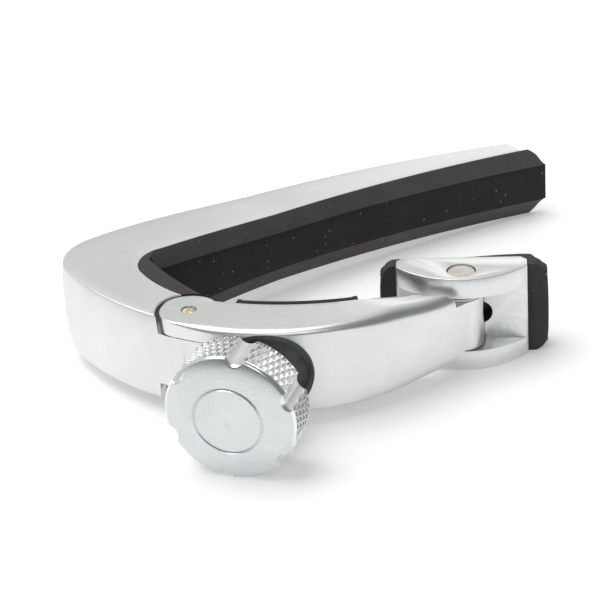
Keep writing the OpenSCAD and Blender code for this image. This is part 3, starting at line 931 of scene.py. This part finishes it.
def make_clevis():
    """Two plates and a web, with the bores for the pin and the boot's plugs."""
    h = FOOT_H / 2
    low = [(-h, -0.16), (-h + 0.05, -0.05), (-h + 0.16, 0)]
    o = prism("clevis", foot_outline(), low + [(-z, grow) for z, grow in reversed(low)], FOOT_M)
    g = h - PLATE_T
    cut(o, [(-20, -20), (20, -20), (20, FOOT_WEB), (-20, FOOT_WEB)], straight(-g, g), FOOT_M)
    cut(o, circle_pts((0, 0), TONGUE_R + 0.25, 90, 0.5), straight(-g, g), FOOT_M)
    cut(o, circle_pts((0, 0), PIN_D / 2 + 0.1, 72), straight(-h - 1, h + 1), FOOT_M)
    for x in (-PLUG_X, PLUG_X):
        cut(o, circle_pts((0, 0), PLUG_HOLE_R, 48), straight(0.0, 10), plug_frame(x))
    weld(o)
    bevel(o, 0.07, 50)
    finish_piece(o, ALU_LEVER, "foot", ["foot_clevis"], 30)
    paint(o, ALU_MILLED, FOOT_M, lambda c, n: n.y < -0.9 and abs(c.z) < g - 0.05 and abs(c.y - FOOT_WEB) < 0.05)


def boot_outline():
    """Outer edge of the boot from its left front round the back to its right front."""
    r = 2.4
    x, y, front = FOOT_HALF + FOOT_PAD_END, FOOT_BACK + FOOT_PAD_T, 2.1
    left = -(x - 0.5)
    pts = [(left + 0.25, front), (left, front + 0.3)] + [(left, q) for q in spread(front + 0.3, y - r, 5)[1:]]
    pts += [polar((left + r, y - r), r, a) for a in spread(180, 90, 12)[1:]]
    pts += [(q, y) for q in spread(left + r, x - r, 26)[1:]]
    pts += [polar((x - r, y - r), r, a) for a in spread(90, 0, 12)[1:]]
    pts += [(x, q) for q in spread(y - r, front + 0.3, 5)[1:]] + [(x - 0.25, front)]
    return pts


def boot_inner(pts):
    """The matching inner edge, on the metal block."""
    x, b = FOOT_HALF, FOOT_BEVEL
    res = []
    for px, py in pts:
        qx = min(max(px, -x), x)
        qy = min(py, FOOT_BACK)
        over = (abs(qx) - (x - b)) + (qy - (FOOT_BACK - b)) - b      # past the bevelled corner
        if over > 0:
            qx -= math.copysign(over / 2, qx)
            qy -= over / 2
        res.append((qx, qy))
    return res


def boot_section(o, i):
    """The way in, the share of the end's rounding, half the height, and the top edge's width and depth."""
    wide = math.dist(o, i)
    u = unit((i[0] - o[0], i[1] - o[1])) if wide > 1e-6 else (0, 1)
    end = smooth((abs(o[0]) - FOOT_HALF - 0.4) / 1.6)
    h = FOOT_H / 2 - lerp(FOOT_PAD_LOW, 0.3, max(end, 0.65 * smooth((o[0] + 3) / 11)))
    return u, end, h, min(lerp(0.35, 1.6, end), wide * 0.62), lerp(0.25, 1.6, end)


def make_flash(name, outer, inner, top):
    """The ragged mould flash along the boot's upper or lower edge."""
    rings = []
    for o, i in zip(outer, inner):
        u, end, h, w, d = boot_section(o, i)
        tear = 0.5 + 0.5 * noise.noise(Vector((o[0] * 0.9, o[1] * 1.3, 5.0 * top)))
        high = 0.05 + (0.34 * max(tear - 0.25, 0) + 0.08 * rng.random()) * lerp(0.35, 1.0, end)
        a = add(o, u, 0.02)
        z = (h - d) * top
        crest = z + high * top
        rings.append([(*a, z - 0.16 * top), (*add(a, u, 0.10), z - 0.10 * top),
                      (*add(a, u, 0.07 - 0.1 * high), crest), (*add(a, u, 0.01 - 0.1 * high), crest)])
    f = loft(name, rings)
    f.data.transform(FOOT_M)
    finish_piece(f, FLASH, "foot", (), 60)


def make_boot():
    """The rubber boot, its flash, and its plugs in the web."""
    outer = boot_outline()
    inner = boot_inner(outer)
    bulge = 0.12
    rings = []
    for o, i in zip(outer, inner):
        u, end, h, w, d = boot_section(o, i)
        shoulder = [(*i, h), (*add(o, u, w), h), (*add(o, u, w * 0.45), h - d * 0.4), (*add(o, u, 0.08), h - d)]
        ring = [(x, y, -z) for x, y, z in shoulder]
        ring += [(*add(o, u, -bulge * (1 - (z / (h - d)) ** 2)), z) for z in spread(-h + d, h - d, 7)[1:-1]]
        rings.append(ring + shoulder[::-1])
    o = loft("foot_boot", rings)
    o.data.transform(FOOT_M)
    bevel(o, 0.1, 25)
    finish_piece(o, RUBBER_FOOT, "foot", ["foot_pad"], 40)
    make_flash("foot_flash_a", outer, inner, 1)
    make_flash("foot_flash_b", outer, inner, -1)
    for x, side in ((-PLUG_X, "l"), (PLUG_X, "r")):
        p = prism("foot_plug_" + side, circle_pts((0, 0), PLUG_R, 48),
                  [(3.4, -0.3), (3.5, -0.08), (3.7, 0), (4.5, 0)], plug_frame(x))
        finish_piece(p, BLACK, "foot", (), 40)


def make_foot_pin():
    """The ground pin, leaning a little in its bore."""
    h = FOOT_H / 2 - 0.12
    low = [(-h, -0.2), (-h + 0.03, -0.06), (-h + 0.14, 0)]
    o = prism("foot_pin_ground", circle_pts((0, 0), PIN_D / 2, 72), low + [(-z, grow) for z, grow in reversed(low)],
              FOOT_M @ Matrix.Rotation(math.radians(2.2), 4, "X"))
    finish_piece(o, PIN, "foot", ["foot_pin"], 30)


def make_hinge_pin():
    """A short splined pin whose end shows in the ear."""
    n, splines = 96, 16
    outline = [polar((0, 0), 0.985 - 0.12 * (math.cos(math.radians(k * 360 / n * splines)) > 0.3), 360 * k / n)
               for k in range(n)]
    o = prism("hinge_pin_splined", outline, [(0.06, -0.22), (0.12, 0), (BODY_W - 0.1, 0), (BODY_W - 0.04, -0.12)],
              Matrix.Translation((HINGE[0] * MM, HINGE[1] * MM, 0)) @ Matrix.Rotation(math.radians(55), 4, "Z"))
    finish_piece(o, GOLD, "body", ["hinge_pin"], 30)


# ---------------------------------------------------------------- stage
def add_camera():
    """A long lens on the knob's side, looking down a little."""
    at = Vector((-112.14, -278.51, 162.19)) * MM
    turn = Euler([math.radians(a) for a in (61.952, 3.268, -28.737)])
    data = bpy.data.cameras.new("camera")
    data.sensor_width = 36
    data.lens = 138.1
    cam = bpy.data.objects.new("camera", data)
    cam.matrix_world = Matrix.LocRotScale(at, turn, None)
    scene.collection.objects.link(cam)
    scene.camera = cam


def add_floor():
    """A pale floor, tipped a little because the capo leans on its knob."""
    m = Nodes("floor")
    colour = m.ramp(m.noise(20, 3), [(0.3, (0.93, 0.93, 0.93)), (0.7, (0.95, 0.95, 0.95))])
    m.link(colour, m.bsdf.inputs["Base Color"])
    m.bsdf.inputs["Roughness"].default_value = 0.7
    m.bsdf.inputs["Emission Color"].default_value = (1.0, 1.0, 1.0, 1)
    m.bsdf.inputs["Emission Strength"].default_value = 0.22
    normal = Vector((-0.0454, -0.0097, 1)).normalized()
    drop = 2.05 * MM
    half = 2.0
    mesh = bpy.data.meshes.new("floor")
    corners = [(-half, -half, 0), (half, -half, 0), (half, half, 0), (-half, half, 0)]
    mesh.from_pydata(corners, [], [(0, 1, 2, 3)])
    o = bpy.data.objects.new("floor", mesh)
    o.matrix_world = Matrix.Translation((0, 0, -drop)) @ normal.to_track_quat("Z", "Y").to_matrix().to_4x4()
    scene.collection.objects.link(o)
    o.data.materials.append(m.mat)


def area(name, loc, target, size, power):
    """A square soft light aimed at a point, in metres and watts."""
    d = bpy.data.lights.new(name, "AREA")
    d.shape = "RECTANGLE"
    d.size = size
    d.size_y = size
    d.energy = power
    o = bpy.data.objects.new(name, d)
    o.location = loc
    o.rotation_euler = (Vector(target) - Vector(loc)).to_track_quat("-Z", "Y").to_euler()
    scene.collection.objects.link(o)


def add_world():
    """A room that is pale behind the object and darker on the camera's side."""
    w = bpy.data.worlds.new("studio")
    w.use_nodes = True
    t = w.node_tree
    bg = t.nodes["Background"]
    tc = t.nodes.new("ShaderNodeTexCoord")
    sep = t.nodes.new("ShaderNodeSeparateXYZ")
    t.links.new(tc.outputs["Generated"], sep.inputs[0])
    depth = t.nodes.new("ShaderNodeMapRange")
    depth.interpolation_type = "SMOOTHSTEP"
    for key, value in (("From Min", -0.45), ("From Max", 0.45), ("To Min", 0.0), ("To Max", 1.0)):
        depth.inputs[key].default_value = value
    t.links.new(sep.outputs["Y"], depth.inputs["Value"])
    ramp = t.nodes.new("ShaderNodeValToRGB")
    e = ramp.color_ramp.elements
    e[0].position, e[0].color = 0.0, (0.20, 0.215, 0.215, 1)
    e[1].position, e[1].color = 1.0, (0.66, 0.665, 0.652, 1)
    t.links.new(depth.outputs["Result"], ramp.inputs["Fac"])
    t.links.new(ramp.outputs["Color"], bg.inputs[0])
    bg.inputs[1].default_value = 1.0
    scene.world = w
    scene.view_settings.view_transform = "Standard"


add_camera()
add_floor()
area("key", (-0.16, 0.16, 0.70), (0.03, -0.01, 0), 0.55, 3.1)
area("front", (-0.16, -0.42, 0.46), (0.02, -0.02, 0), 0.22, 0.36)
area("back", (0.30, 0.27, 0.15), (0.06, 0, 0.01), 0.2, 0.09)
add_world()

# the hidden nodes keep their CAD shape and get a material each
OTHER = {"screw_insert": BRASS, "drag_plug": WHITE, "hinge_bushes": BUSH, "knob_screw": STEEL, "knob_key": STEEL,
         "thrust_washer": BLACK, "wave_washer": STEEL, "foot_washers": WHITE, "foot_bush": BUSH, "drag_ring": BLACK}
for node_name, node_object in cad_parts.items():
    node_object.data.materials.clear()
    node_object.data.materials.append(OTHER.get(node_name, ALU))

make_body()
make_string_pad()
make_lever()
make_liner()
make_pocket()
make_knob()
make_clevis()
make_boot()
make_foot_pin()
make_hinge_pin()
